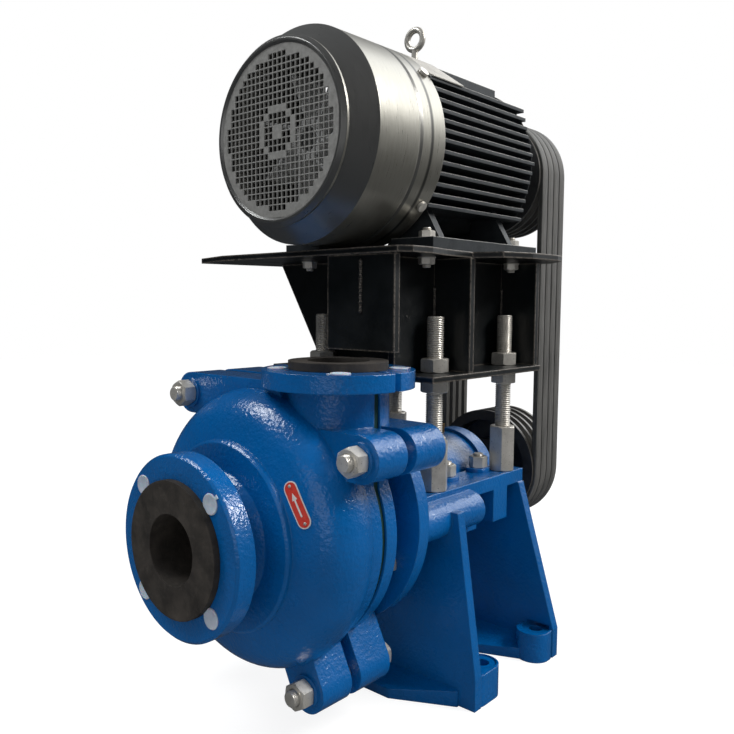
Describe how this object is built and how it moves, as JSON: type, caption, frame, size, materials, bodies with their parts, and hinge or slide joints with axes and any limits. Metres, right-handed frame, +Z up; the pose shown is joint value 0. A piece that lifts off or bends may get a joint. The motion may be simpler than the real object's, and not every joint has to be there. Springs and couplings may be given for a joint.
{
  "type": "slurry pump",
  "caption": "Rubber-lined centrifugal slurry pump on a cast pedestal, driven by V-belts from a finned motor on a plate mount held above it by studs.",
  "frame": {"origin": "on the floor, in the middle of the four base bolt holes", "axes": "+Z up, +Y along the shafts from the intake to the belts, +X to the right of someone facing the intake"},
  "size_m": [0.5, 0.733, 0.9355],
  "materials": {
    "blue_enamel": "glossy blue enamel over a cast surface",
    "lining_rubber": "dusty natural rubber, brown black",
    "zinc_fasteners": "zinc plated, slightly yellow",
    "machined_steel": "turned steel",
    "cast_iron": "dark oiled iron",
    "bronze": "turned bronze",
    "packing_rope": "greased braided rope",
    "belt_rubber": "matte black belt cloth",
    "black_steelwork": "semi-matte black paint, worn at the cut edges",
    "motor_grey": "dark grey paint",
    "cowl_grey": "satin graphite grey paint",
    "fan_plastic": "moulded black plastic",
    "core_plates": "stacked sheet steel"
  },
  "bodies": {
    "base": {"cover_plate": "blue_enamel", "frame_plate": "blue_enamel", "cover_plate_liner": "lining_rubber", "frame_plate_liner": "lining_rubber", "throat_bush": "lining_rubber", "stuffing_box": "cast_iron", "lantern_ring": "bronze", "packing_rings": "packing_rope", "gland_bolts": "zinc_fasteners", "casing_bolts": "zinc_fasteners", "casing_nuts": "zinc_fasteners", "pedestal": "blue_enamel", "frame_studs": "zinc_fasteners", "frame_nuts": "zinc_fasteners", "bearing_housing": "blue_enamel", "pump_outer_races": "machined_steel", "front_end_cover": "blue_enamel", "rear_end_cover": "blue_enamel", "end_cover_screws": "zinc_fasteners", "grease_fittings": "bronze", "clamp_washers": "blue_enamel", "clamp_bolts": "zinc_fasteners", "clamp_nuts": "zinc_fasteners", "coupling_nuts": "zinc_fasteners", "mount_studs": "zinc_fasteners", "lower_nuts": "zinc_fasteners", "v_belts": "belt_rubber"},
    "gland": {"gland": "cast_iron", "gland_nuts": "zinc_fasteners"},
    "pump_rotor": {"pump_shaft": "machined_steel", "shaft_sleeve": "machined_steel", "impeller": "cast_iron", "pump_inner_races": "machined_steel", "pump_rollers": "machined_steel", "labyrinth_rings": "machined_steel", "pump_pulley": "cast_iron"},
    "motor_mount": {"upper_nuts": "zinc_fasteners", "mount_bottom_plate": "black_steelwork", "mount_top_plate": "black_steelwork", "mount_ribs": "black_steelwork", "mount_webs": "black_steelwork", "motor_frame": "motor_grey", "eyebolt": "zinc_fasteners", "foot_bolts": "zinc_fasteners", "foot_nuts": "zinc_fasteners", "drive_end_shield": "motor_grey", "fan_end_shield": "motor_grey", "stator": "core_plates", "motor_outer_races": "machined_steel", "fan_cowl": "cowl_grey", "fan_guard": "cowl_grey", "cowl_screws": "zinc_fasteners", "terminal_box": "motor_grey", "terminal_lid": "motor_grey", "cable_inlet": "motor_grey"},
    "motor_rotor": {"motor_shaft": "machined_steel", "rotor_core": "core_plates", "motor_inner_races": "machined_steel", "fan": "fan_plastic", "motor_pulley": "cast_iron"}
  },
  "joints": [
    {"name": "gland_slide", "type": "slide", "parent": "base", "child": "gland", "axis": [0, 1, 0], "range_m": [0, 0.006]},
    {"name": "pump_spin", "type": "hinge", "parent": "base", "child": "pump_rotor", "pos_m": [0, 0, 0.254], "axis": [0, -1, 0], "continuous": true},
    {"name": "mount_lift", "type": "slide", "parent": "base", "child": "motor_mount", "axis": [0, 0, 1], "range_m": [0, 0.02], "deforming": ["v_belts"]},
    {"name": "motor_spin", "type": "hinge", "parent": "motor_mount", "child": "motor_rotor", "pos_m": [0, 0, 0.74], "axis": [0, -1, 0], "continuous": true}
  ],
  "couplings": [
    {"joint": "motor_spin", "follows": "pump_spin", "ratio": 1}
  ]
}
